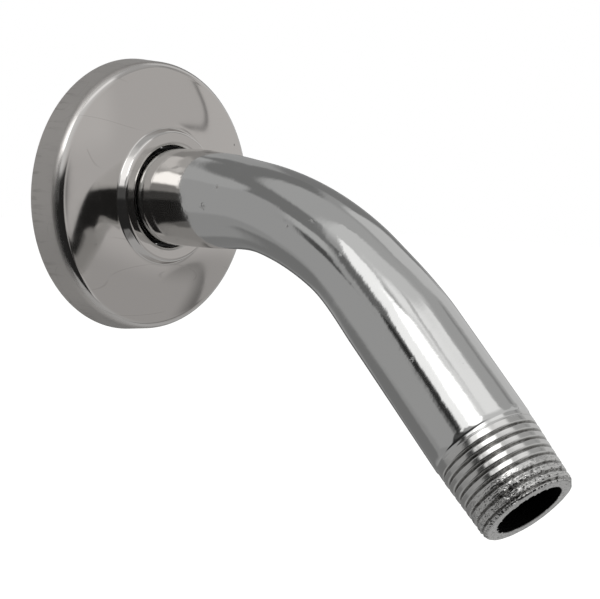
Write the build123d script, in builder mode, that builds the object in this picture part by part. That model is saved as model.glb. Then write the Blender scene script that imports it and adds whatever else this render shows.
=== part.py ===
from build123d import *
from math import radians, tan
import os

# Shower arm: a bent half-inch pipe, threaded at both ends, with a loose pressed flange at the wall.
# Millimetres. The wall is the plane Y = 0, and the origin is where the pipe's axis meets it.
# The inlet runs into the wall along +Y, the arm stands out along -Y and bends down, and +Z is up.

# Pipe
PIPE_OD = 21.3
BORE = 14.4
INLET_RUN = 22.0  # from the wall back to the inlet's end face
STAND_OFF = 27.0  # from the wall out to the start of the bend
BEND_RADIUS = 69.0  # at the pipe's centreline
BEND_ANGLE = 45.0
OUTLET_RUN = 49.2  # from the end of the bend to the outlet's end face

# Bending draws the pipe's walls together in the plane of the bend
SQUEEZE = 1.3  # at each side, at its most
SQUEEZE_RUN = 18.0  # length over which it builds up
OUTSIDE_LEAD = 7.5  # straight pipe drawn in at each end of the bend, on its outside
INSIDE_LEAD = 1.0  # the same on the inside of the bend
SECTIONS = 19  # cross-sections that carry the squeezed stretch

# Half-inch pipe thread at each end, as rings of its section
THREAD_LENGTH = 16.0
THREAD_PITCH = 25.4 / 14  # 14 turns to the inch
THREAD_DEPTH = 0.7
THREAD_ANGLE = 60.0  # between the two sides of a groove
THREAD_RUNOUT = 1.9  # length over which the grooves fade out before the plain pipe
THREAD_OVERCUT = 0.2  # how far the grooves' cutters reach past the crests
CREST_DROP = 0.25  # how far the crests lie under the pipe's surface
LEAD_DROP = 0.7  # the end's chamfer, inwards
LEAD_LENGTH = 1.6  # the end's chamfer, along the pipe

# Wall flange, pressed from sheet
SHEET = 0.8
FLANGE_OD = 60.8  # where it meets the wall
RIM_DEPTH = 7.2  # from the wall to the corner of the shoulder
RIM_DRAW = 0.75  # how far the rim leans in over that depth
SHOULDER_RADIUS = 2.6
DOME_RISE = 3.2  # from the shoulder's corner to the foot of the collar
DOME_BULGE = 0.4  # how far the face between them arches
COLLAR_FRONT = 3.05  # width of its front, from the mouth to its edge
COLLAR_HEIGHT = 1.9  # above its foot
COLLAR_DRAW = 0.85  # how far the collar's side leans in over that height
COLLAR_FOOT_RADIUS = 0.5
COLLAR_EDGE_RADIUS = 1.0
LIP_RADIUS = 1.1  # where the collar's front turns into its mouth
LIP_DEPTH = 6.0  # from the collar's front back to the end of the mouth
FLANGE_CLEARANCE = 0.55  # between the pipe and the collar's mouth, all round
TRIM_ALLOWANCE = 1.0  # sheet drawn past the wall plane, then trimmed flush

# Sizes that follow
pipe_radius = PIPE_OD / 2
bore_radius = BORE / 2
thread_radius = pipe_radius - CREST_DROP
mouth_radius = pipe_radius + FLANGE_CLEARANCE
collar_radius = mouth_radius + COLLAR_FRONT
foot_depth = RIM_DEPTH + DOME_RISE
collar_front = foot_depth + COLLAR_HEIGHT

# Centreline, from the inlet's end face to the outlet's
with BuildLine(Plane.YZ) as centreline:
    inlet_line = Line((INLET_RUN, 0), (-STAND_OFF, 0))
    bend_arc = JernArc(start=inlet_line @ 1, tangent=inlet_line % 1, radius=BEND_RADIUS, arc_size=BEND_ANGLE)
    outlet_line = Line(bend_arc @ 1, bend_arc @ 1 + (bend_arc % 1) * OUTLET_RUN)
path = centreline.wire()
bend_start = inlet_line.length
bend_end = bend_start + bend_arc.length
squeeze_start = bend_start - max(OUTSIDE_LEAD, INSIDE_LEAD)
squeeze_end = bend_end + max(OUTSIDE_LEAD, INSIDE_LEAD)


def cut_across(distance):
    """Plane square to the pipe at a distance along its centreline, with local X level."""
    return Plane(path.location_at(distance, PositionMode.LENGTH, x_dir=(1, 0, 0)))


def squeeze_at(distance, lead):
    """How far a wall is drawn in there: none up to its lead, then rising smoothly to its most."""
    into_bend = min(distance - bend_start, bend_end - distance) + lead
    part_way = min(1, max(0, into_bend / SQUEEZE_RUN))
    return SQUEEZE * part_way**2 * (3 - 2 * part_way)


def straight(radius, start, end, mode=Mode.ADD):
    """Round stretch of the given radius between two distances along the centreline."""
    with BuildSketch(cut_across(start)) as section:
        Circle(radius)
    extrude(section.sketch, amount=end - start, mode=mode)


def squeezed_bend(radius, mode=Mode.ADD):
    """The bend, and the straight pipe drawn in with it, as one smooth skin over its cross-sections."""
    sections = []
    for index in range(SECTIONS):
        distance = squeeze_start + (squeeze_end - squeeze_start) * index / (SECTIONS - 1)
        outside = squeeze_at(distance, OUTSIDE_LEAD)
        inside = squeeze_at(distance, INSIDE_LEAD)
        with BuildSketch(cut_across(distance)) as section:
            with Locations((0, (inside - outside) / 2)):
                Ellipse(radius, radius - (inside + outside) / 2)
        sections.append(section.sketch)
    loft(sections, mode=mode)


def thread_grooves(end):
    """Cut the thread's grooves all round, from the plane of an end face whose Z runs into the pipe."""
    turns = int((THREAD_LENGTH - LEAD_LENGTH) / THREAD_PITCH + 0.25)
    side_slope = tan(radians(THREAD_ANGLE / 2))
    with BuildSketch(Plane(origin=end.origin, x_dir=end.x_dir, z_dir=-end.y_dir)) as grooves:
        for turn in range(turns):
            from_end = LEAD_LENGTH + (turn + 0.5) * THREAD_PITCH
            depth = THREAD_DEPTH * min(1, (THREAD_LENGTH - from_end) / THREAD_RUNOUT)
            half_width = (depth + THREAD_OVERCUT) * side_slope
            with Locations((thread_radius, from_end)):
                Polygon((-depth, 0), (THREAD_OVERCUT, -half_width), (THREAD_OVERCUT, half_width), align=None)
    revolve(grooves.sketch, axis=Axis(end.origin, end.z_dir), mode=Mode.SUBTRACT)


with BuildPart() as arm:
    straight(thread_radius, 0, THREAD_LENGTH)
    straight(pipe_radius, THREAD_LENGTH, squeeze_start)
    squeezed_bend(pipe_radius)
    straight(pipe_radius, squeeze_end, path.length - THREAD_LENGTH)
    straight(thread_radius, path.length - THREAD_LENGTH, path.length)
    end_faces = [
        arm.faces().sort_by_distance(path @ 0)[0],
        arm.faces().sort_by_distance(path @ 1)[0],
    ]
    for face in end_faces:
        chamfer(face.edges(), length=LEAD_DROP, length2=LEAD_LENGTH, reference=face)
    thread_grooves(cut_across(0))
    thread_grooves(-cut_across(path.length))
    straight(bore_radius, 0, squeeze_start, mode=Mode.SUBTRACT)
    squeezed_bend(bore_radius, mode=Mode.SUBTRACT)
    straight(bore_radius, squeeze_end, path.length, mode=Mode.SUBTRACT)
arm.part.label = "arm_pipe"

# The flange's section: local X is the radius, local Y the distance out from the wall
section_plane = Plane(origin=(0, 0, 0), x_dir=(1, 0, 0), z_dir=(0, 0, -1))
rim_lean = RIM_DRAW / RIM_DEPTH
rim_start = (FLANGE_OD / 2 + rim_lean * TRIM_ALLOWANCE, -TRIM_ALLOWANCE)
shoulder = (FLANGE_OD / 2 - RIM_DRAW, RIM_DEPTH)
collar_foot = (collar_radius + COLLAR_DRAW, foot_depth)
collar_edge = (collar_radius, collar_front)
lip = (mouth_radius, collar_front)
mouth_end = (mouth_radius, collar_front - LIP_DEPTH)
corner_radii = {
    shoulder: SHOULDER_RADIUS,
    collar_foot: COLLAR_FOOT_RADIUS,
    collar_edge: COLLAR_EDGE_RADIUS,
    lip: LIP_RADIUS,
}

with BuildPart() as flange:
    with BuildSketch(section_plane):
        with BuildLine() as skin:
            Line(rim_start, shoulder)
            SagittaArc(shoulder, collar_foot, -DOME_BULGE)
            Polyline(collar_foot, collar_edge, lip, mouth_end)
            for corner, radius in corner_radii.items():
                fillet(skin.vertices().sort_by_distance(corner)[0], radius)
            offset(amount=SHEET, side=Side.LEFT)
        make_face()
    revolve(axis=Axis.Y)
    split(bisect_by=Plane.XZ, keep=Keep.TOP)
flange.part.label = "wall_flange"

os.makedirs("parts", exist_ok=True)
export_step(arm.part, "parts/arm_pipe.step")
export_step(flange.part, "parts/wall_flange.step")
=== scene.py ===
"""Looks of a shower arm: a chromed bent pipe with cut threads and the pressed flange that slides on it."""

import logging
import math
from dataclasses import dataclass
from enum import Enum
from functools import cached_property

import bpy
import numpy as np
from bpy.types import ID, Material, Node, NodeTree, Object
from bpy.types import NodeSocket as Socket
from mathutils import Matrix, Vector


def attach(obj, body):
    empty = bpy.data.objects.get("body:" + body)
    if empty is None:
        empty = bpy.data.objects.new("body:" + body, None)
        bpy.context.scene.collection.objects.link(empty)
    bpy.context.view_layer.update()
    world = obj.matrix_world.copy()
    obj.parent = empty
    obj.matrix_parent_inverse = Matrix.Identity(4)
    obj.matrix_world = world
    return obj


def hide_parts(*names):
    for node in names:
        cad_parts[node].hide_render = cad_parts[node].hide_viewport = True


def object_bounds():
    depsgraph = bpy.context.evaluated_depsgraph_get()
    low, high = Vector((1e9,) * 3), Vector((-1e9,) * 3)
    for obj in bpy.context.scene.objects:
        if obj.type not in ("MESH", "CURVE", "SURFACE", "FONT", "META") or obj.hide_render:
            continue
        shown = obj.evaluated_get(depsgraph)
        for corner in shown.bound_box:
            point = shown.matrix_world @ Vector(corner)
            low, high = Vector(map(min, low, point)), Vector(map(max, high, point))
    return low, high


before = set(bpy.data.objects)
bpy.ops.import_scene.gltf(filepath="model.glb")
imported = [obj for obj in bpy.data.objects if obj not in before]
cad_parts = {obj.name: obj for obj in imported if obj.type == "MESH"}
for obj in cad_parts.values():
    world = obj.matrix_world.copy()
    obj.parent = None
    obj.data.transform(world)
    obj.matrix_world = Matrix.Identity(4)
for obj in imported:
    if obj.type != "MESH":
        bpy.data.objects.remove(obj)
CAD_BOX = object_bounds()

WOUND = "wound"  # attribute with the pipe's surface drawn narrow, so that a pattern on it runs round
MM = 0.001
IMAGE_WIDTH = 600  # pixels
WHITE = (1.0, 1.0, 1.0)
log = logging.getLogger("shower_arm")

Pair = tuple[float, float]
Point = tuple[float, float, float]
Colour = tuple[float, float, float]
Waves = tuple[tuple[float, float, float], ...]  # each sine's whole turns, rate per millimetre and phase
Feed = Socket | float | tuple[float, ...]  # what an input takes: another node's output, or a plain value


class Body(Enum):
    """The bodies that the pieces ride on."""

    ARM = "arm"
    FLANGE = "flange"


class Slot(Enum):
    """The record's material slots."""

    ARM = "arm_chrome"
    FLANGE = "flange_steel"


class Zone(Enum):
    """Point attributes that say where on a piece a finish changes."""

    CUT = "cut_metal"  # 1 where a thread was cut, fading to 0 on the plain pipe
    GROOVE = "groove"  # 1 at the floor of a thread's groove, 0 at its crests
    TORN = "torn_metal"  # 1 on the rough first turns of a thread
    BORE = "bore"  # 1 on the inside of the pipe
    RIM = "rim"  # 1 on the flange's drawn side, fading to 0 over its shoulder
    HIGHLIT_EDGE = "highlit_edge"  # 1 where the flange's front turns steeply, which gets a painted highlight
    MOUTH_SHADE = "mouth"  # 1 in the collar's mouth, behind its lip, where it is painted near-black as shade
    HIDDEN = "back"  # 1 on the flange's unpolished back


def smooth_step(low: float, high: float, value: np.ndarray) -> np.ndarray:
    """Rise from 0 where the value is low to 1 where it is high, along t * t * (3 - 2 t)."""
    t = np.clip((value - low) / (high - low), 0, 1)
    return t * t * (3 - 2 * t)


def soft_least(a: np.ndarray, b: np.ndarray, blend: float) -> np.ndarray:
    """Lesser of two values, rounded where they cross: half of a + b - sqrt((a - b)^2 + blend^2)."""
    return (a + b - np.sqrt((a - b) ** 2 + blend**2)) / 2


def ripple(angle: np.ndarray, along: np.ndarray, waves: Waves) -> np.ndarray:
    """Uneven surface from -1 to 1: the mean of sines of turns * angle + rate * along + phase."""
    total = sum(np.sin(turns * angle + rate * along + phase) for turns, rate, phase in waves)
    return total / len(waves)


def towards(azimuth: np.ndarray | float, elevation: np.ndarray | float) -> np.ndarray:
    """Unit vector at two angles in radians: azimuth turns from -Y towards +X, elevation rises to +Z."""
    level = np.cos(elevation)
    return np.stack([np.sin(azimuth) * level, -np.cos(azimuth) * level, np.sin(elevation)], axis=-1)


def put_in_scene(name: str, data: ID) -> Object:
    """Put a mesh, a lamp or a camera into the scene.

    Args:
        name: The object's name.
        data: The mesh, lamp or camera.

    Returns:
        The new object.
    """
    thing = bpy.data.objects.new(name, data)
    bpy.context.scene.collection.objects.link(thing)
    return thing


def grid_faces(rows: int, columns: int) -> np.ndarray:
    """Point numbers of a grid's four-sided faces, the last row and column joined to the first."""
    index = np.arange(rows * columns).reshape(rows, columns)
    return np.stack([np.roll(index, by, (0, 1)) for by in ((0, 0), (0, -1), (-1, -1), (-1, 0))], axis=-1)


def ring_mesh(name: str, points: np.ndarray, hard_rows: list[int], zones: dict[Zone, np.ndarray]) -> Object:
    """Make a watertight piece from rings of points that close round and end to end, as a tube's wall does.

    Args:
        name: The piece's name.
        points: Rings by points by 3, in metres.
        hard_rows: The rings that are hard edges.
        zones: Point attributes, each of the shape rings by points.

    Returns:
        The new object, with faces pointing outwards, smooth but for its hard rings.
    """
    rows, columns, _ = points.shape
    faces = grid_faces(rows, columns).reshape(-1, 4)
    flat = points.reshape(-1, 3)
    corners = flat[faces]
    area_normals = np.cross(corners[:, 2] - corners[:, 0], corners[:, 3] - corners[:, 1])
    if (corners.mean(axis=1) * area_normals).sum() < 0:
        faces = faces[:, ::-1]
    mesh = bpy.data.meshes.new(name)
    mesh.from_pydata(flat.tolist(), [], faces.tolist())
    mesh.shade_smooth()
    ends = np.zeros(len(mesh.edges) * 2, np.int32)
    mesh.edges.foreach_get("vertices", ends)
    edge_rows = ends.reshape(-1, 2) // columns
    hard = (edge_rows[:, 0] == edge_rows[:, 1]) & np.isin(edge_rows[:, 0], hard_rows)
    mesh.attributes.new("sharp_edge", "BOOLEAN", "EDGE").data.foreach_set("value", hard)
    for zone, values in zones.items():
        attribute = mesh.attributes.new(zone.value, "FLOAT", "POINT")
        spread = np.broadcast_to(values, (rows, columns)).astype(np.float32)
        attribute.data.foreach_set("value", spread.ravel())
    return put_in_scene(name, mesh)


def opaque(colour: Feed) -> Feed:
    """Give a plain colour its fourth number, and leave a socket as it is."""
    return colour if isinstance(colour, Socket) else (*colour, 1.0)


class NodeDesk:
    """A node tree with short ways to add and join its nodes."""

    def __init__(self, tree: NodeTree) -> None:
        """Take the tree that the nodes go into."""
        self.tree = tree

    def add(self, kind: str, values: dict[str | int, Feed] | None = None, **settings: object) -> Node:
        """Add one node.

        Args:
            kind: Blender's name for the node's type.
            values: For an input's name or number, a plain value or the socket that feeds it.
            **settings: The node's own settings.

        Returns:
            The node.
        """
        node = self.tree.nodes.new(kind)
        for setting, choice in settings.items():
            setattr(node, setting, choice)
        for key, value in (values or {}).items():
            self.feed(node.inputs[key], value)
        return node

    def feed(self, target: Socket, value: Feed) -> None:
        """Link a socket to a target, or set the target's own value.

        Args:
            target: The input that is fed.
            value: The socket that feeds it, or its plain value.
        """
        if isinstance(value, Socket):
            self.tree.links.new(value, target)
        else:
            target.default_value = value

    def math(self, operation: str, *values: Feed, clamp: bool = False) -> Socket:
        """Work out a sum or function, by Blender's name for it, held between 0 and 1 if clamped."""
        inputs = dict(enumerate(values))
        return self.add("ShaderNodeMath", inputs, operation=operation, use_clamp=clamp).outputs[0]

    def ramp(self, value: Socket, low: Feed, high: Feed, to_low: Feed = 0.0, to_high: Feed = 1.0) -> Socket:
        """Carry a value smoothly from the range low to high into to_low to to_high, and no further."""
        ends = {"Value": value, "From Min": low, "From Max": high, "To Min": to_low, "To Max": to_high}
        return self.add("ShaderNodeMapRange", ends, interpolation_type="SMOOTHSTEP").outputs[0]

    def mix(self, share: Feed, first: Feed, second: Feed) -> Socket:
        """Mix two colours, by the share of the second."""
        node = self.add("ShaderNodeMix", {0: share, 6: opaque(first), 7: opaque(second)}, data_type="RGBA")
        return node.outputs[2]

    def noise(self, place: Socket, per_metre: Feed, detail: float = 2.0, roughness: float = 0.5) -> Socket:
        """Add an even noise with so many humps to the metre, mostly between 0.3 and 0.7."""
        values = {"Vector": place, "Scale": per_metre, "Detail": detail, "Roughness": roughness}
        return self.add("ShaderNodeTexNoise", values).outputs[0]

    def group(self, tree: NodeTree, values: dict[str, Feed]) -> Socket:
        """Place a shared node group with its own values and give its first output."""
        return self.add("ShaderNodeGroup", values, node_tree=tree).outputs[0]

    def metal(self, surface: Socket, skin: Socket, rough: Socket, height: Socket, share: Feed) -> None:
        """Add a Principled metal with bumps.

        Args:
            surface: The socket that takes the shader.
            skin: Its colour.
            rough: Its roughness.
            height: Its bumps' height, in metres.
            share: How metallic it is, from 0 to 1.
        """
        bump = self.add("ShaderNodeBump", {"Height": height, "Strength": 1.0, "Distance": 1.0})
        looks = {"Base Color": skin, "Roughness": rough, "Normal": bump.outputs["Normal"], "Metallic": share}
        self.feed(surface, self.add("ShaderNodeBsdfPrincipled", looks).outputs[0])

    def zone(self, zone: Zone) -> Socket:
        """Read one of the piece's zones."""
        return self.add("ShaderNodeAttribute", attribute_name=zone.value).outputs["Fac"]


def new_material(name: str) -> tuple[Material, NodeDesk, Socket]:
    """Start a material with nothing but its output.

    Args:
        name: The material's name.

    Returns:
        The material, the desk for its nodes, and the socket that takes its shader.
    """
    material = bpy.data.materials.new(name)
    material.use_nodes = True
    nodes = material.node_tree.nodes
    nodes.remove(nodes["Principled BSDF"])
    return material, NodeDesk(material.node_tree), nodes["Material Output"].inputs["Surface"]


def new_group(
    name: str, inputs: dict[str, float | None], result: str
) -> tuple[NodeDesk, dict[str, Socket], Socket]:
    """Start a shader node group with one output.

    Args:
        name: The group's name.
        inputs: For each input's name, its usual number, or None for a vector.
        result: Name of the output, which is a number.

    Returns:
        The desk to work at, the inputs' sockets by name, and the socket that takes the output.
    """
    tree = bpy.data.node_groups.new(name, "ShaderNodeTree")
    for label, usual in inputs.items():
        kind = "NodeSocketVector" if usual is None else "NodeSocketFloat"
        socket = tree.interface.new_socket(label, in_out="INPUT", socket_type=kind)
        if usual is not None:
            socket.default_value = usual
    tree.interface.new_socket(result, in_out="OUTPUT", socket_type="NodeSocketFloat")
    desk = NodeDesk(tree)
    source = desk.add("NodeGroupInput")
    given = {label: source.outputs[label] for label in inputs}
    return desk, given, desk.add("NodeGroupOutput").inputs[result]


@dataclass
class SurfaceMarks:
    """Marks that both metals share, each a node group that is built once."""

    smallest_pit: float = 0.25  # beside the pits' width
    pit_floor: float = 0.4  # share of a pit that is at its full depth
    haze_levels: Pair = (0.4, 0.65)  # of the clouds, where haze starts and is full
    patch_rate: float = 1.7  # patches of scratches, beside the scratches' own rate
    patch_levels: Pair = (0.52, 0.6)
    grit_pull: float = 0.4  # how much denser the grit is in the middle of a scuff
    grit_levels: Pair = (0.82, 0.94)

    @cached_property
    def specks(self) -> NodeTree:
        """Small pits: round cells of a scattered pattern, kept where the cell's own random number is low.

        Returns:
            The group, with a mask that is 1 in a pit.
        """
        inputs = {"Place": None, "Per metre": 400.0, "Share": 0.1, "Width": 0.2}
        desk, given, result = new_group("specks", inputs, "Pit")
        cells = desk.add("ShaderNodeTexVoronoi", {"Vector": given["Place"], "Scale": given["Per metre"]})
        shade = desk.add("ShaderNodeSeparateColor", {0: cells.outputs["Color"]})
        kept = desk.math("LESS_THAN", shade.outputs[0], given["Share"])
        size = desk.math("MULTIPLY", given["Width"], desk.math("ADD", shade.outputs[1], self.smallest_pit))
        floor = desk.math("MULTIPLY", size, self.pit_floor)
        inside = desk.ramp(cells.outputs["Distance"], size, floor)
        desk.feed(result, desk.math("MULTIPLY", kept, inside))
        return desk.tree

    @cached_property
    def haze(self) -> NodeTree:
        """Uneven polish: cloudy patches broken up by finer ones.

        Returns:
            The group, with a value from 0, clear, to 1, hazy.
        """
        desk, given, result = new_group("polish_haze", {"Place": None, "Per metre": 40.0}, "Haze")
        clouds = desk.noise(given["Place"], given["Per metre"], detail=5.0, roughness=0.6)
        desk.feed(result, desk.ramp(clouds, *self.haze_levels))
        return desk.tree

    @cached_property
    def hairlines(self) -> NodeTree:
        """Fine scratches: where a noise stretched along one way crosses its middle, kept in a few patches.

        Returns:
            The group, with a mask that is 1 on a scratch.
        """
        inputs = {"Place": None, "Per metre": 60.0, "Width": 0.006}
        desk, given, result = new_group("hairlines", inputs, "Line")
        turned_and_stretched = (
            ((0.0, 0.25, 0.0), (0.09, 1.0, 1.0)),
            ((0.0, -0.35, 0.1), (0.12, 1.0, 1.0)),
        )
        lines = []
        for turn, stretch in turned_and_stretched:
            values = {"Vector": given["Place"], "Rotation": turn, "Scale": stretch}
            lain = desk.add("ShaderNodeMapping", values)
            waves = desk.noise(lain.outputs[0], given["Per metre"], detail=0.0)
            off = desk.math("ABSOLUTE", desk.math("SUBTRACT", waves, 0.5))
            rate = desk.math("MULTIPLY", given["Per metre"], self.patch_rate)
            patches = desk.noise(lain.outputs[0], rate, detail=1.0)
            on_line = desk.ramp(off, given["Width"], 0.0)
            lines.append(desk.math("MULTIPLY", on_line, desk.ramp(patches, *self.patch_levels)))
        desk.feed(result, desk.math("MAXIMUM", *lines))
        return desk.tree

    @cached_property
    def scuff(self) -> NodeTree:
        """One scuffed spot: grit that thins out away from the spot's middle.

        Returns:
            The group, with a mask that is 1 on a scuff.
        """
        inputs = {"Place": None, "Middle": None, "Reach": 0.002, "Per metre": 2500.0}
        desk, given, result = new_group("scuffed_spot", inputs, "Scuff")
        ends = {0: given["Place"], 1: given["Middle"]}
        away = desk.add("ShaderNodeVectorMath", ends, operation="DISTANCE")
        near = desk.ramp(away.outputs["Value"], given["Reach"], 0.0)
        grit = desk.noise(given["Place"], given["Per metre"], detail=2.0, roughness=0.7)
        packed = desk.math("ADD", grit, desk.math("MULTIPLY", near, self.grit_pull))
        desk.feed(result, desk.ramp(packed, *self.grit_levels))
        return desk.tree


@dataclass(frozen=True)
class Scuff:
    """A spot where the polish was knocked, with its middle and reach in millimetres."""

    middle: Point
    reach: float

    def mask(self, desk: NodeDesk, marks: SurfaceMarks, place: Socket) -> Socket:
        """Place the spot in a material."""
        middle = tuple(MM * value for value in self.middle)
        return desk.group(marks.scuff, {"Place": place, "Middle": middle, "Reach": MM * self.reach})


@dataclass(frozen=True)
class WornMetal:
    """A metal with an uneven polish, pits and scuffs."""

    haze_per_metre: float
    pits_per_metre: float
    pit_share: float
    pit_width: float
    scuffs: tuple[Scuff, ...]

    def wear(self, desk: NodeDesk, marks: SurfaceMarks, place: Socket) -> tuple[Socket, Socket]:
        """Lay the haze, the pits and the scuffs.

        Args:
            desk: The material's nodes.
            marks: The shared node groups.
            place: Where they are worked out.

        Returns:
            The haze, and a mask that is 1 in a pit or on a scuff.
        """
        haze = desk.group(marks.haze, {"Place": place, "Per metre": self.haze_per_metre})
        scatter = {"Per metre": self.pits_per_metre, "Share": self.pit_share, "Width": self.pit_width}
        knocks = desk.group(marks.specks, {"Place": place, **scatter})
        for scuff in self.scuffs:
            knocks = desk.math("MAXIMUM", knocks, scuff.mask(desk, marks, place))
        return haze, knocks


@dataclass(frozen=True)
class PipeChrome(WornMetal):
    """Bright plate on the pipe and its threads with painted shade in the grooves, torn metal at the ends,
    and a bore painted near-black as shade. Heights in metres.
    """

    plate: Colour = (0.76, 0.76, 0.75)
    cut: Colour = (0.74, 0.735, 0.72)
    # Near-black: painted shade at the groove floors, and the darkened grain of torn metal
    groove_shade_and_torn_dark: Colour = (0.07, 0.067, 0.06)
    knocked: Colour = (0.5, 0.5, 0.49)
    # Near-black inside of the pipe: painted shade
    bore: Colour = (0.012, 0.012, 0.012)
    plate_roughness: float = 0.06
    hazy_roughness: float = 0.11
    cut_roughness: float = 0.11
    torn_roughness: float = 0.12
    bore_roughness: float = 0.6
    wave_height: float = 0.00012
    ripple_height: float = 0.000012
    pit_height: float = 0.00005
    torn_height: float = 0.0006
    haze_per_metre: float = 55.0
    pits_per_metre: float = 420.0
    pit_share: float = 0.04
    pit_width: float = 0.2
    grain_per_metre: float = 2200.0
    wave_per_metre: float = 90.0
    ripple_per_metre: float = 650.0
    groove_shade_grain: Pair = (0.25, 0.6)  # grain where the painted groove shade is fullest, and where it is weakest
    # Share of the painted groove shade that is left where the grain is high
    least_groove_shade: float = 0.6
    torn_grain: Pair = (0.43, 0.31)  # grain where a torn turn starts to darken, and is dark
    knock_shade: float = 0.8
    scuffs: tuple[Scuff, ...] = (
        Scuff((-10.0, -35.2, 2.7), 1.6),
        Scuff((-10.6, -31.9, -1.4), 2.0),
        Scuff((-8.7, -61.1, -2.9), 1.5),
        Scuff((-10.5, -55.9, -4.4), 1.2),
        Scuff((-9.4, -69.4, -9.2), 1.2),
        Scuff((-9.9, -89.0, -28.0), 1.2),
        Scuff((-5.0, -97.0, -28.1), 0.6),
    )

    def material(self, marks: SurfaceMarks) -> Material:
        """Build the chrome.

        Args:
            marks: The shared node groups.

        Returns:
            The material.
        """
        material, desk, surface = new_material("bright_plate")
        place = desk.add("ShaderNodeTexCoord").outputs["Object"]
        cut, groove = desk.zone(Zone.CUT), desk.zone(Zone.GROOVE)
        torn, bore = desk.zone(Zone.TORN), desk.zone(Zone.BORE)
        haze, knocks = self.wear(desk, marks, place)
        wound = desk.add("ShaderNodeAttribute", attribute_name=WOUND).outputs["Vector"]
        grain = desk.noise(wound, self.grain_per_metre, detail=1.5, roughness=0.6)
        wave = desk.noise(place, self.wave_per_metre, detail=2.0, roughness=0.4)
        ripple_marks = desk.noise(place, self.ripple_per_metre, detail=2.0, roughness=0.6)
        skin = desk.mix(cut, self.plate, self.cut)
        # Painted shade at the floor of each groove, patchy with the grain
        groove_shade = desk.math("MULTIPLY", groove, desk.ramp(grain, *self.groove_shade_grain, 1.0, self.least_groove_shade))
        skin = desk.mix(groove_shade, skin, self.groove_shade_and_torn_dark)
        # Torn turns darkened where the grain is low
        skin = desk.mix(desk.math("MULTIPLY", torn, desk.ramp(grain, *self.torn_grain)), skin, self.groove_shade_and_torn_dark)
        skin = desk.mix(desk.math("MULTIPLY", knocks, self.knock_shade), skin, self.knocked)
        # Painted shade: the bore near-black
        skin = desk.mix(bore, skin, self.bore)
        rough = desk.ramp(haze, 0.0, 1.0, self.plate_roughness, self.hazy_roughness)
        rough = desk.math("MULTIPLY_ADD", cut, self.cut_roughness - self.plate_roughness, rough)
        rough = desk.math("MULTIPLY_ADD", torn, self.torn_roughness - self.cut_roughness, rough)
        rough = desk.math("MULTIPLY_ADD", knocks, self.torn_roughness, rough)
        rough = desk.math("MULTIPLY_ADD", bore, self.bore_roughness, rough, clamp=True)
        height = desk.math("MULTIPLY", wave, self.wave_height)
        height = desk.math("MULTIPLY_ADD", ripple_marks, self.ripple_height, height)
        height = desk.math("MULTIPLY_ADD", knocks, -self.pit_height, height)
        height = desk.math("MULTIPLY_ADD", desk.math("MULTIPLY", grain, torn), self.torn_height, height)
        desk.metal(surface, skin, rough, height, 1.0)
        return material


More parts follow.
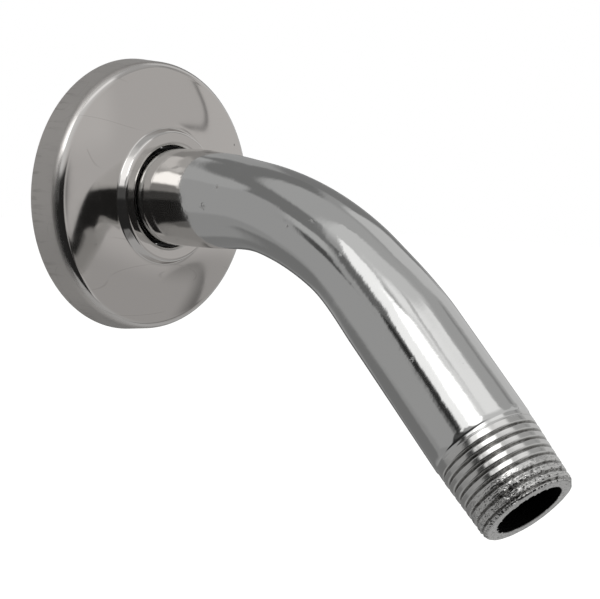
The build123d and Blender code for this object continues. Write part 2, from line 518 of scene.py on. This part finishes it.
@dataclass(frozen=True)
class FlangeSteel(WornMetal):
    """Polished sheet with a painted highlight on its steep edges, a satin rim, painted shade in its mouth
    and a dull back. Lengths in metres.
    """

    face: Colour = (0.645, 0.615, 0.59)
    # Lighter colour on the steep edges, which whitens their reflections: a painted highlight
    edge_highlight: Colour = (0.79, 0.77, 0.75)
    rim: Colour = (0.64, 0.615, 0.59)
    # Near-black and not metallic in the collar's mouth: painted shade
    mouth: Colour = (0.02, 0.02, 0.02)
    back: Colour = (0.40, 0.39, 0.38)
    pit: Colour = (0.03, 0.03, 0.03)
    scored: Colour = (0.40, 0.38, 0.36)
    face_roughness: float = 0.07
    hazy_roughness: float = 0.11
    rim_roughness: float = 0.36
    rim_metal: float = 0.95
    back_roughness: float = 0.42
    streak_height: float = 0.000012
    wave_height: float = 0.00003
    pit_height: float = 0.00004
    streak_reach: float = 0.004
    streak_shade: Pair = (0.1, 0.45)  # away from the wall, and at it
    streak_levels: Pair = (0.48, 0.36)  # of their noise, where a streak starts and is full
    streak_stretch: Point = (1.0, 0.12, 1.0)
    streaks_per_metre: float = 1100.0
    haze_per_metre: float = 70.0
    pits_per_metre: float = 260.0
    pit_share: float = 0.02
    pit_width: float = 0.12
    pit_shade: float = 0.9
    lines_per_metre: float = 110.0
    line_width: float = 0.006
    line_shade: float = 0.3
    line_roughness: float = 0.08
    wave_per_metre: float = 45.0
    scuffs: tuple[Scuff, ...] = (Scuff((-19.8, -9.2, -10.5), 0.7),)

    def material(self, marks: SurfaceMarks) -> Material:
        """Build the steel.

        Args:
            marks: The shared node groups.

        Returns:
            The material.
        """
        material, desk, surface = new_material("pressed_steel")
        place = desk.add("ShaderNodeTexCoord").outputs["Object"]
        from_wall = desk.add("ShaderNodeSeparateXYZ", {0: place}).outputs[1]
        rim, back = desk.zone(Zone.RIM), desk.zone(Zone.HIDDEN)
        edge_highlight_mask, mouth = desk.zone(Zone.HIGHLIT_EDGE), desk.zone(Zone.MOUTH_SHADE)
        haze, pits = self.wear(desk, marks, place)
        scratches = {"Per metre": self.lines_per_metre, "Width": self.line_width}
        lines = desk.group(marks.hairlines, {"Place": place, **scratches})
        along = desk.add("ShaderNodeMapping", {"Vector": place, "Scale": self.streak_stretch})
        streaks = desk.noise(along.outputs[0], self.streaks_per_metre, detail=3.0, roughness=0.6)
        wave = desk.noise(place, self.wave_per_metre, detail=1.0, roughness=0.4)
        by_wall = desk.ramp(from_wall, -self.streak_reach, 0.0, *self.streak_shade)
        # Painted highlight: the steep edges take the lighter colour
        skin = desk.mix(rim, desk.mix(edge_highlight_mask, self.face, self.edge_highlight), self.rim)
        on_streak = desk.ramp(streaks, *self.streak_levels)
        streaked = desk.math("MULTIPLY", desk.math("MULTIPLY", rim, by_wall), on_streak)
        skin = desk.mix(streaked, skin, self.scored)
        skin = desk.mix(desk.math("MULTIPLY", lines, self.line_shade), skin, self.scored)
        skin = desk.mix(desk.math("MULTIPLY", pits, self.pit_shade), skin, self.pit)
        # Painted shade: the mouth near-black
        skin = desk.mix(mouth, skin, self.mouth)
        skin = desk.mix(back, skin, self.back)
        rough = desk.ramp(haze, 0.0, 1.0, self.face_roughness, self.hazy_roughness)
        rough = desk.math("MULTIPLY_ADD", rim, self.rim_roughness - self.face_roughness, rough)
        rough = desk.math("MULTIPLY_ADD", lines, self.line_roughness, rough)
        dull = desk.math("MAXIMUM", back, mouth)
        rough = desk.math("MULTIPLY_ADD", dull, self.back_roughness, rough, clamp=True)
        height = desk.math("MULTIPLY", wave, self.wave_height)
        height = desk.math("MULTIPLY_ADD", pits, -self.pit_height, height)
        height = desk.math("MULTIPLY_ADD", desk.math("MULTIPLY", streaks, rim), self.streak_height, height)
        metal = desk.ramp(rim, 0.0, 1.0, 1.0, self.rim_metal)
        # The mouth is not metallic, so its painted shade stays black
        desk.metal(surface, skin, rough, height, desk.math("SUBTRACT", metal, mouth, clamp=True))
        return material


@dataclass
class ThreadedPipe:
    """The bent pipe with a cut thread at each end. Sizes are in millimetres."""

    finish: PipeChrome
    inlet_run: float = 22.0
    stand_off: float = 27.0
    bend_radius: float = 69.0
    bend_angle: float = math.radians(45.0)
    outlet_run: float = 49.2
    pipe_radius: float = 10.65
    bore_radius: float = 7.2
    squeeze: float = 1.3  # how far the bend's walls are drawn in, at most
    squeeze_run: float = 18.0  # length over which that builds up
    outside_lead: float = 7.5  # straight pipe drawn in at the bend's ends, outside
    inside_lead: float = 1.0  # the same, inside
    thread_length: float = 16.0
    pitch: float = 25.4 / 14
    thread_depth: float = 0.7
    end_crest: float = 9.9  # radius of the crests at the end face
    taper: float = 1 / 22  # how fast the crests rise from there
    crest_cap: float = 10.5  # radius that they stop at
    lead_radius: float = 9.45  # of the chamfered end
    lead_slope: float = 0.55
    washout: float = 2.6  # length over which the last turns fade out
    flank_slope: float = 1 / math.tan(math.radians(24.0))  # from half the angle of a groove
    crest_round: float = 0.07
    step_run: float = 0.35  # from the thread up to the plain pipe
    edge_break: float = 0.15  # at the bore's ends
    tear_depth: float = 0.12
    torn_length: float = 7.5  # from the end face to the last torn place
    torn_full: float = 1.0  # from the end face to where the tearing starts to fade
    wound_radius: float = 4.5  # of the circle on which the torn grain is read
    face_torn: float = 0.4  # how torn the end faces are, beside the turns
    burr: float = 0.5  # how far the bore's ragged edge stands in
    burr_levels: Pair = (0.1, 0.6)  # of its waves, where a burr starts and is full
    columns: int = 208
    rows_per_turn: int = 16
    bend_rows: int = 110
    bore_rows: int = 40
    face_rows: int = 7
    tear_waves: Waves = ((3, 9.1, 0.3), (5, -12.3, 1.9), (9, 15.2, 4.1), (14, 7.4, 2.6), (23, -10.0, 0.8))
    burr_waves: Waves = ((3, 0, 0.7), (11, 0, 2.2), (19, 0, 5.1), (31, 0, 1.3), (47, 0, 4.0))

    @property
    def length(self) -> float:
        """Length along the centreline."""
        return self.inlet_run + self.stand_off + self.bend_radius * self.bend_angle + self.outlet_run

    def centreline(self, distance: np.ndarray) -> tuple[np.ndarray, np.ndarray]:
        """Follow the centreline: straight along -Y, a circular bend downwards, and straight again.

        Args:
            distance: Distance from the inlet's end face.

        Returns:
            Points on the centreline, and the directions from it towards the outside of the bend.
        """
        bend_start = self.inlet_run + self.stand_off
        turn = np.clip((distance - bend_start) / self.bend_radius, 0, self.bend_angle)
        before = np.minimum(distance - bend_start, 0)
        after = np.maximum(distance - bend_start - self.bend_radius * self.bend_angle, 0)
        y = -self.stand_off - before - self.bend_radius * np.sin(turn) - after * np.cos(turn)
        z = -self.bend_radius * (1 - np.cos(turn)) - after * np.sin(turn)
        none = np.zeros_like(y)
        return np.stack([none, y, z], axis=-1), np.stack([none, -np.sin(turn), np.cos(turn)], axis=-1)

    def drawn_in(self, distance: np.ndarray, lead: float) -> np.ndarray:
        """How far one wall of the bend is drawn in: none up to its lead, then rising smoothly to its most.

        Args:
            distance: Distance from the inlet's end face.
            lead: How far before the bend the rise starts.

        Returns:
            The inward move at each distance.
        """
        bend_start = self.inlet_run + self.stand_off
        bend_end = bend_start + self.bend_radius * self.bend_angle
        into_bend = np.minimum(distance - bend_start, bend_end - distance) + lead
        return self.squeeze * smooth_step(0.0, self.squeeze_run, into_bend)

    def sweep(self, distance: np.ndarray, radius: np.ndarray, angle: np.ndarray) -> np.ndarray:
        """Carry rings along the centreline, as ellipses that the drawn-in walls narrow in the bend's plane.

        Args:
            distance: Each ring's distance from the inlet's end face.
            radius: Radius at each ring and angle.
            angle: Angles round the pipe, from level towards the outside of the bend.

        Returns:
            Rings by angles by 3, in millimetres.
        """
        centre, outwards = self.centreline(distance)
        outside = self.drawn_in(distance, self.outside_lead)[:, None]
        inside = self.drawn_in(distance, self.inside_lead)[:, None]
        across = radius * np.cos(angle)
        up = (radius - (inside + outside) / 2) * np.sin(angle) + (inside - outside) / 2
        level = np.array([1.0, 0.0, 0.0])
        return centre[:, None] + across[..., None] * level + up[..., None] * outwards[:, None]

    def torn_share(self, from_end: np.ndarray) -> np.ndarray:
        """How torn a thread is at a distance from its end face: 1 beside it, falling smoothly to 0."""
        return smooth_step(self.torn_length, self.torn_full, from_end)

    def skin_radius(self, distance: np.ndarray, angle: np.ndarray) -> tuple[np.ndarray, np.ndarray]:
        """Outer radius: the plain pipe, and near each end a straight-sided groove wound round a slight cone.

        The groove's floor rises out of the pipe over the last turns, the crests follow the cone up to a cap,
        and the end has a chamfer. Uneven sines tear the first turns.

        Args:
            distance: Each ring's distance from the inlet's end face.
            angle: Angles round the pipe.

        Returns:
            The radius at each ring and angle, and how deep in a groove it is, from 0 to 1.
        """
        along, around = np.meshgrid(distance, angle, indexing="ij")
        from_end = np.minimum(along, self.length - along)
        tear = ripple(around, along, self.tear_waves) * self.tear_depth * self.torn_share(from_end)
        crest = np.minimum(self.end_crest + self.taper * from_end, self.crest_cap)
        crest = np.minimum(crest, self.lead_radius + self.lead_slope * from_end)
        fade = smooth_step(self.thread_length, self.thread_length - self.washout, from_end)
        floor = self.end_crest + self.taper * from_end - self.thread_depth * fade
        turn = along / self.pitch + around / (2 * np.pi)
        from_groove = np.abs(turn - np.round(turn)) * self.pitch
        flank = floor + self.flank_slope * (from_groove - self.crest_round / 2)
        cut = soft_least(crest, np.maximum(flank, floor), self.crest_round) + tear
        to_pipe = smooth_step(self.thread_length, self.thread_length + self.step_run, from_end)
        depth = np.clip((crest - cut) / self.thread_depth, 0, 1) * (1 - to_pipe)
        return cut + (self.pipe_radius - cut) * to_pipe, depth

    def rings(self) -> tuple[np.ndarray, np.ndarray]:
        """Distances of the outer rings, close at the threads and wider on the plain pipe.

        Returns:
            Distances along the outer skin, and along the bore from the outlet back to the inlet.
        """
        threaded = self.thread_length + self.step_run
        turn_rows = int(threaded / self.pitch * self.rows_per_turn)
        near = np.linspace(0, threaded, turn_rows, endpoint=False)
        middle = np.linspace(threaded, self.length - threaded, self.bend_rows, endpoint=False)
        far = np.linspace(self.length - threaded, self.length, turn_rows + 1)
        bore = np.linspace(self.length - self.edge_break, self.edge_break, self.bore_rows)
        return np.concatenate([near, middle, far]), bore

    def build(self, marks: SurfaceMarks) -> Object:
        """Build the pipe as one closed wall: outer skin, outlet face, bore and inlet face.

        Args:
            marks: The shared node groups.

        Returns:
            The piece, dressed and riding on its body.
        """
        angle = np.linspace(0, 2 * np.pi, self.columns, endpoint=False)
        skin, bore = self.rings()
        skin_radius, skin_groove = self.skin_radius(skin, angle)
        ragged = ripple(angle[None], np.zeros((1, 1)), self.burr_waves)
        burr = -self.burr * smooth_step(*self.burr_levels, ragged)
        share = np.linspace(0, 1, self.face_rows + 2)[1:-1, None]
        edge = self.bore_radius + self.edge_break + burr
        face_out = skin_radius[-1] + (edge - skin_radius[-1]) * share
        face_in = edge + (skin_radius[0] - edge) * share
        distance = np.concatenate(
            [skin, np.full(self.face_rows + 1, self.length), bore, np.zeros(self.face_rows + 1)]
        )
        bore_radius = np.full((len(bore), self.columns), self.bore_radius)
        radius = np.concatenate([skin_radius, face_out, edge, bore_radius, edge, face_in])
        points = self.sweep(distance, radius, angle) * MM
        starts = np.cumsum([0, len(skin), self.face_rows + 1, len(bore), self.face_rows + 1])
        hard_rows = [0, starts[1] - 1, starts[2] - 1, starts[2], starts[3] - 1, starts[3]]
        from_end = np.minimum(distance, self.length - distance)[:, None]
        on_bore = np.zeros(len(distance))
        on_bore[starts[2]:starts[3]] = 1
        cut = smooth_step(self.thread_length + self.step_run, self.thread_length - self.pitch, from_end)
        torn = self.torn_share(from_end)
        torn[[*range(starts[1], starts[2]), *range(starts[3], starts[4])]] *= self.face_torn
        groove = np.zeros(radius.shape)
        groove[:len(skin)] = skin_groove
        zones = {Zone.CUT: cut, Zone.GROOVE: groove, Zone.TORN: torn, Zone.BORE: on_bore[:, None]}
        piece = ring_mesh("threaded_arm", points, hard_rows, zones)
        # The torn grain is read round a narrow circle, and along it by distance plus radius
        around = np.stack([np.cos(angle), np.sin(angle), np.zeros(self.columns)], axis=-1)
        along = np.array([0.0, 0.0, 1.0])
        wound = self.wound_radius * around + (distance[:, None] + radius)[..., None] * along
        attribute = piece.data.attributes.new(WOUND, "FLOAT_VECTOR", "POINT")
        attribute.data.foreach_set("vector", (wound * MM).ravel())
        piece.data.materials.append(self.finish.material(marks))
        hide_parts("arm_pipe")
        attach(piece, Body.ARM.value)
        return piece


@dataclass
class PressedFlange:
    """The round sheet flange, as a section carried round the pipe's axis. Sizes are in millimetres."""

    finish: FlangeSteel
    sheet: float = 0.8
    rim_radius: float = 30.4
    rim_depth: float = 7.2
    rim_draw: float = 0.75
    shoulder_round: float = 2.6
    dome_rise: float = 3.2
    dome_bulge: float = 0.4
    collar_radius: float = 14.25
    collar_height: float = 1.9
    collar_draw: float = 0.85
    foot_round: float = 0.5
    edge_round: float = 1.0
    lip_round: float = 1.1
    lip_depth: float = 7.4
    mouth_radius: float = 11.2
    satin_fade: Pair = (-0.1, 0.9)  # behind the shoulder's corner, where the satin starts and is full
    satin_width: float = 3.0  # how far in from the wall's edge the satin reaches
    steep_fade: Pair = (0.35, 0.65)  # slopes from the plain face to the edges with the painted highlight
    mouth_shade_fade: Pair = (1.1, 1.9)  # behind the collar's front, where the painted shade in the mouth starts and is full
    margin: float = 0.1  # kept between rings where two curves meet
    slope_row: int = 2  # row of the arch, from either end, that gives its slope there
    columns: int = 288
    dome_rows: int = 40
    corner_rows: int = 12
    straight_rows: int = 8

    def corner(self, point: np.ndarray, before: np.ndarray, after: np.ndarray, radius: float) -> np.ndarray:
        """Round a corner with the circle that touches both of its sides.

        Args:
            point: The sharp corner.
            before: A point that the line comes from.
            after: A point that it goes to.
            radius: The circle's radius.

        Returns:
            Points along the arc, in order.
        """
        back = (before - point) / np.linalg.norm(before - point)
        on = (after - point) / np.linalg.norm(after - point)
        half = np.arccos(np.clip(back @ on, -1, 1)) / 2
        middle = (back + on) / np.linalg.norm(back + on)
        centre = point + middle * radius / np.sin(half)
        start = point + back * radius / np.tan(half) - centre
        end = point + on * radius / np.tan(half) - centre
        sweep = np.pi - 2 * half
        share = np.linspace(0, 1, self.corner_rows)[:, None]
        return centre + (np.sin((1 - share) * sweep) * start + np.sin(share * sweep) * end) / np.sin(sweep)

    def collar_front(self) -> float:
        """Distance from the wall to the collar's front."""
        return self.rim_depth + self.dome_rise + self.collar_height

    def section(self) -> np.ndarray:
        """Front of the section from the wall to the mouth, as radius and distance out from the wall.

        The face between shoulder and collar is a circular arch, worked out as a chord and its bulge.

        Returns:
            Points by 2.
        """
        foot_depth = self.rim_depth + self.dome_rise
        front = self.collar_front()
        wall = np.array([self.rim_radius, 0.0])
        shoulder = np.array([self.rim_radius - self.rim_draw, self.rim_depth])
        foot = np.array([self.collar_radius + self.collar_draw, foot_depth])
        edge = np.array([self.collar_radius, front])
        lip = np.array([self.mouth_radius, front])
        mouth = np.array([self.mouth_radius, front - self.lip_depth])
        chord = foot - shoulder
        span = np.linalg.norm(chord)
        out = np.array([-chord[1], chord[0]]) / span
        out = out * np.sign(out[1])
        arch_radius = (span**2 / 4 + self.dome_bulge**2) / (2 * self.dome_bulge)
        share = np.linspace(0, 1, self.dome_rows)[:, None]
        lift = np.sqrt(arch_radius**2 - (span * (share - 0.5)) ** 2) - (arch_radius - self.dome_bulge)
        dome = shoulder + share * chord + lift * out
        shoulder_arc = self.corner(shoulder, wall, dome[self.slope_row], self.shoulder_round)
        foot_arc = self.corner(foot, dome[-1 - self.slope_row], edge, self.foot_round)
        inside = dome[:, 0] < shoulder_arc[-1, 0] - self.margin
        kept = inside & (dome[:, 0] > foot_arc[0, 0] + self.margin)
        edge_arc = self.corner(edge, foot, lip, self.edge_round)
        lip_arc = self.corner(lip, edge, mouth, self.lip_round)
        rise = np.linspace(0, 1, self.straight_rows, endpoint=False)[:, None]
        rim_line = wall + rise * (shoulder_arc[0] - wall)
        fall = np.linspace(0, 1, self.straight_rows)[1:, None]
        mouth_line = lip_arc[-1] + fall * (mouth - lip_arc[-1])
        return np.concatenate([rim_line, shoulder_arc, dome[kept], foot_arc, edge_arc, lip_arc, mouth_line])

    def build(self, marks: SurfaceMarks) -> Object:
        """Carry the front section, and the same set back by the sheet's thickness, round the pipe's axis.

        Args:
            marks: The shared node groups.

        Returns:
            The piece, dressed and riding on its body.
        """
        front = self.section()
        run = np.gradient(front, axis=0)
        run /= np.linalg.norm(run, axis=1, keepdims=True)
        inwards = np.stack([-run[:, 1], run[:, 0]], axis=-1)
        back = front + self.sheet * inwards
        back[0, 1] = 0.0
        loop = np.concatenate([front, back[::-1]])
        angle = np.linspace(0, 2 * np.pi, self.columns, endpoint=False)
        radius, out = loop[:, :1], loop[:, 1:]
        depth = np.broadcast_to(-out, (len(loop), self.columns))
        points = np.stack([radius * np.cos(angle), depth, radius * np.sin(angle)], axis=-1)
        hard_rows = [0, len(front) - 1, len(front), len(loop) - 1]
        on_back = (np.arange(len(loop)) >= len(front))[:, None]
        on_side = radius > self.rim_radius - self.satin_width
        rim = smooth_step(*self.satin_fade, self.rim_depth - out) * on_side
        steep = np.abs(np.concatenate([run, run[::-1]])[:, 1:])
        # Mask of the painted highlight on the steep edges
        edge_highlight_mask = smooth_step(*self.steep_fade, steep)
        # Mask of the painted shade in the mouth
        in_mouth = radius < self.mouth_radius + self.margin
        mouth = smooth_step(*self.mouth_shade_fade, self.collar_front() - out) * in_mouth
        zones = {Zone.RIM: rim, Zone.HIGHLIT_EDGE: edge_highlight_mask, Zone.MOUTH_SHADE: mouth, Zone.HIDDEN: on_back.astype(float)}
        piece = ring_mesh("pressed_flange", points * MM, hard_rows, zones)
        piece.data.materials.append(self.finish.material(marks))
        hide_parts("wall_flange")
        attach(piece, Body.FLANGE.value)
        return piece


@dataclass(frozen=True)
class Panel:
    """One lit or dark surface of the studio, as a rounded patch of the view round the arm, in degrees."""

    name: str
    azimuth: Pair
    elevation: Pair
    light: float
    corner: float = 4.0
    feather: float = 2.0


@dataclass
class Studio:
    """Floor, surroundings, key lamp and the screen of cards that the metal mirrors. Lengths in metres."""

    centre: Point = (0.0, -0.05, -0.02)
    card_distance: float = 2.5
    card_step: float = 5.0  # degrees between the screen's rings
    key_azimuth: float = -75.0  # degrees
    key_elevation: float = 42.0  # degrees
    key_distance: float = 1.2
    key_size: Pair = (0.8, 0.9)
    key_power: float = 5.0  # watts
    fill_light: float = 0.7
    floor_drop: float = 0.2
    floor_reach: float = 6.0
    floor_colour: Colour = (0.82, 0.82, 0.81)
    floor_glow: float = 0.5
    gap_light: float = 0.34
    panels: tuple[Panel, ...] = (
        Panel("ceiling", (-230, 230), (62, 130), 0.41, 0.5, 5),
        Panel("ceiling_glow", (-108, 45), (58, 100), 0.62, 8, 12),
        Panel("table", (-230, 230), (-140, -16), 0.30, 0.5, 4),
        Panel("table_middle", (-230, 230), (-140, -56), 0.38, 0.5, 6),
        Panel("table_front", (-112, -45), (-66, -48), 0.17, 5, 4),
        Panel("table_right", (135, 170), (-50, -20), 0.21, 5, 5),
        Panel("table_left", (-206, -158), (-34, -18), 0.19, 4, 4),
        Panel("back_card", (140, 258), (-20, 42), 0.36, 4, 3),
        Panel("back_band", (120, 255), (42, 62), 0.19, 4, 2.5),
        Panel("back_band_end", (236, 256), (38.5, 50), 0.19, 4, 2),
        Panel("back_card_top", (154, 223), (34, 50), 0.41, 8, 2.5),
        Panel("side_card", (24, 84), (28, 64), 0.40, 3, 5),
        Panel("right_card", (45, 112), (-12, 28), 0.60, 3, 3),
        Panel("right_strip", (82, 110), (0, 58), 0.57, 8, 3),
        Panel("strip_edge", (69, 76), (36, 46), 0.26, 2, 3),
        Panel("right_dark", (108, 130), (14, 44), 0.21, 4, 2),
        Panel("right_low", (45, 112), (-60, -10), 0.42, 3, 4),
        Panel("near_card", (8, 48), (-50, 28), 0.55, 3, 1.5),
        Panel("upper_edge", (46, 64.3), (11, 40), 0.23, 7, 0.4),
        Panel("upper_leaf", (20, 62.7), (12, 40), 0.55, 6, 0.8),
        Panel("lower_edge", (45, 68.5), (-60, -12), 0.19, 11, 0.4),
        Panel("lower_leaf", (16, 62.5), (-60, -13.5), 0.42, 6, 5),
        Panel("dark_room", (-106, 7), (-51, 9), 0.02, 3, 2),
        Panel("dark_room_top", (-106, -36), (-5, 12), 0.07, 3, 3),
        Panel("upper_card", (-50, 26), (11, 58), 0.62, 4, 5),
        Panel("top_softbox", (-70, 26), (54, 68), 0.93, 6, 5),
        Panel("softbox_frame", (-48, -38), (58, 70), 0.55, 2, 3),
        Panel("key_foot", (-94.3, -86), (13, 32), 1.0, 3, 1.8),
        Panel("key_side", (-94.3, -77), (22, 65), 1.1, 4, 1.8),
        Panel("key_softbox", (-80, -46), (27, 52), 1.9, 5, 3),
        Panel("gleam", (-120, -107), (28, 38), 0.47, 3, 2),
        Panel("dark_gap", (-104, -96), (8, 45), 0.14, 2, 2),
        Panel("dark_gap_low", (-103, -94.5), (6, 23), 0.03, 2, 2),
        Panel("dark_line", (-120, -111), (16, 26), 0.08, 2, 2),
        Panel("limb", (120, 152), (-20, 10), 0.13, 6, 3),
    )

    def panel_group(self) -> NodeTree:
        """Mask of a rounded patch: the distance outside a box with rounded corners, faded over a feather.

        Returns:
            The group, with a mask that is 1 on the panel.
        """
        inputs = {
            "Azimuth": 0.0, "Elevation": 0.0, "Middle azimuth": 0.0, "Middle elevation": 0.0,
            "Half width": 10.0, "Half height": 10.0, "Corner": 2.0, "Feather": 2.0,
        }
        desk, given, result = new_group("studio_panel", inputs, "Mask")
        over = []
        for angle, half in (("azimuth", "Half width"), ("elevation", "Half height")):
            aside = desk.math("SUBTRACT", given[angle.capitalize()], given[f"Middle {angle}"])
            aside = desk.math("ABSOLUTE", desk.math("WRAP", aside, 180.0, -180.0))
            straight = desk.math("SUBTRACT", given[half], given["Corner"])
            over.append(desk.math("SUBTRACT", aside, straight))
        squares = [desk.math("POWER", desk.math("MAXIMUM", beyond, 0.0), 2.0) for beyond in over]
        outside = desk.math("SQRT", desk.math("ADD", *squares))
        within = desk.math("MINIMUM", desk.math("MAXIMUM", *over), 0.0)
        away = desk.math("SUBTRACT", desk.math("ADD", outside, within), given["Corner"])
        inner = desk.math("MULTIPLY", given["Feather"], -1.0)
        desk.feed(result, desk.ramp(away, given["Feather"], inner))
        return desk.tree

    def card_material(self) -> Material:
        """Glow of the cards: the panels laid over each other by the direction from the arm.

        Returns:
            The material.
        """
        material, desk, surface = new_material("studio_cards")
        group = self.panel_group()
        place = desk.add("ShaderNodeTexCoord").outputs["Object"]
        ends = {0: place, 1: self.centre}
        from_arm = desk.add("ShaderNodeVectorMath", ends, operation="SUBTRACT").outputs[0]
        aim = desk.add("ShaderNodeVectorMath", {0: from_arm}, operation="NORMALIZE").outputs[0]
        part = desk.add("ShaderNodeSeparateXYZ", {0: aim})
        to_front = desk.math("MULTIPLY", part.outputs[1], -1.0)
        azimuth = desk.math("DEGREES", desk.math("ARCTAN2", part.outputs[0], to_front))
        elevation = desk.math("DEGREES", desk.math("ARCSINE", part.outputs[2]))
        light: Feed = (self.gap_light,) * 3
        for panel in self.panels:
            values = {
                "Azimuth": azimuth,
                "Elevation": elevation,
                "Middle azimuth": sum(panel.azimuth) / 2,
                "Middle elevation": sum(panel.elevation) / 2,
                "Half width": (panel.azimuth[1] - panel.azimuth[0]) / 2,
                "Half height": (panel.elevation[1] - panel.elevation[0]) / 2,
                "Corner": panel.corner,
                "Feather": panel.feather,
            }
            mask = desk.add("ShaderNodeGroup", values, node_tree=group, label=panel.name)
            light = desk.mix(mask.outputs["Mask"], light, (panel.light,) * 3)
        glow = desk.add("ShaderNodeEmission", {"Color": light, "Strength": 1.0})
        desk.feed(surface, glow.outputs[0])
        material.cycles.emission_sampling = "NONE"
        return material

    def build_cards(self) -> Object:
        """Build the cards as one round screen, a grid of azimuth and elevation, that only mirrored rays see.

        Returns:
            The screen.
        """
        step = self.card_step
        azimuth = np.radians(np.arange(0, 360 + step, step))
        elevation = np.radians(np.arange(-90, 90 + step, step))
        aim = towards(*np.meshgrid(azimuth, elevation, indexing="ij"))
        points = np.array(self.centre) + self.card_distance * aim
        rows, columns, _ = points.shape
        faces = grid_faces(rows, columns)[:-1, :-1].reshape(-1, 4)
        mesh = bpy.data.meshes.new("studio_cards")
        mesh.from_pydata(points.reshape(-1, 3).tolist(), [], faces.tolist())
        mesh.materials.append(self.card_material())
        screen = put_in_scene("studio_cards", mesh)
        screen.visible_camera = False
        screen.visible_diffuse = False
        screen.visible_shadow = False
        screen.visible_transmission = False
        return screen

    def white_rays(self, desk: NodeDesk) -> Socket:
        """Share of rays that see the background white: the camera's, mirrored and let-through ones.

        Args:
            desk: The material's or the surroundings' nodes.

        Returns:
            The share's socket, 0 or 1.
        """
        path = desk.add("ShaderNodeLightPath")
        seen = desk.math("ADD", path.outputs["Is Camera Ray"], path.outputs["Is Glossy Ray"], clamp=True)
        return desk.math("ADD", seen, path.outputs["Is Transmission Ray"], clamp=True)

    def build_floor(self) -> Object:
        """Build the pale floor, which takes the shadow and glows a little to the camera.

        Returns:
            The floor.
        """
        low = CAD_BOX[0].z - self.floor_drop
        reach = self.floor_reach
        mesh = bpy.data.meshes.new("floor")
        corners = [(-reach, -reach, low), (reach, -reach, low), (reach, reach, low), (-reach, reach, low)]
        mesh.from_pydata(corners, [], [(0, 1, 2, 3)])
        material, desk, surface = new_material("floor")
        matt = desk.add("ShaderNodeBsdfDiffuse", {"Color": opaque(self.floor_colour)})
        strength = desk.math("MULTIPLY", self.white_rays(desk), self.floor_glow)
        glow = desk.add("ShaderNodeEmission", {"Color": opaque(WHITE), "Strength": strength})
        both = desk.add("ShaderNodeAddShader", {0: matt.outputs[0], 1: glow.outputs[0]})
        desk.feed(surface, both.outputs[0])
        mesh.materials.append(material)
        floor = put_in_scene("floor", mesh)
        floor.visible_glossy = False
        return floor

    def build_world(self) -> None:
        """Make the surroundings white to the camera and to mirrored rays, and a soft fill to all else."""
        world = bpy.data.worlds.new("studio")
        bpy.context.scene.world = world
        world.use_nodes = True
        tree = world.node_tree
        desk = NodeDesk(tree)
        background = tree.nodes["Background"]
        desk.feed(background.inputs["Color"], opaque(WHITE))
        strength = desk.ramp(self.white_rays(desk), 0.0, 1.0, self.fill_light, 1.0)
        desk.feed(background.inputs["Strength"], strength)

    def build_lamps(self) -> None:
        """Hang the key lamp where the softbox is, to give the floor its shadow."""
        aim = Vector(towards(math.radians(self.key_azimuth), math.radians(self.key_elevation)))
        lamp = bpy.data.lights.new("key", "AREA")
        lamp.shape = "RECTANGLE"
        lamp.size, lamp.size_y = self.key_size
        lamp.energy = self.key_power
        key = put_in_scene("key", lamp)
        key.location = Vector(self.centre) + self.key_distance * aim
        key.rotation_euler = aim.to_track_quat("Z", "Y").to_euler()
        key.visible_glossy = False


@dataclass(frozen=True)
class PhotoCamera:
    """The photograph's viewpoint. Lengths are in millimetres, angles in degrees."""

    focal_pixels: float = 1844.1
    azimuth: float = -48.534
    elevation: float = 4.076
    roll: float = 2.318
    distance: float = 383.724
    target: Point = (0.0, -50.862, -19.818)
    sensor: float = 36.0
    nearest: float = 10.0

    def build(self) -> Object:
        """Set up the camera, turned about its own axis by the roll.

        Returns:
            The camera.
        """
        azimuth, elevation = math.radians(self.azimuth), math.radians(self.elevation)
        back = Vector(towards(azimuth, elevation))
        right = Vector((math.cos(azimuth), math.sin(azimuth), 0.0))
        up = back.cross(right)
        turned = Matrix((right, up, back)).transposed() @ Matrix.Rotation(math.radians(self.roll), 3, "Z")
        data = bpy.data.cameras.new("photo")
        data.sensor_width = self.sensor
        data.lens = self.focal_pixels * self.sensor / IMAGE_WIDTH
        data.clip_start = self.nearest * MM
        camera = put_in_scene("photo", data)
        place = (Vector(self.target) + self.distance * back) * MM
        camera.matrix_world = Matrix.Translation(place) @ turned.to_4x4()
        bpy.context.scene.camera = camera
        return camera


def main() -> None:
    """Build the camera, the studio and the two pieces."""
    logging.basicConfig(level=logging.INFO, format="%(name)s: %(message)s")
    bpy.context.scene.view_settings.view_transform = "Standard"
    PhotoCamera().build()
    studio = Studio()
    studio.build_world()
    studio.build_floor()
    studio.build_cards()
    studio.build_lamps()
    marks = SurfaceMarks()
    for piece in (ThreadedPipe(PipeChrome()).build(marks), PressedFlange(FlangeSteel()).build(marks)):
        log.info("%s: %d faces", piece.name, len(piece.data.polygons))


if __name__ == "__main__":
    main()
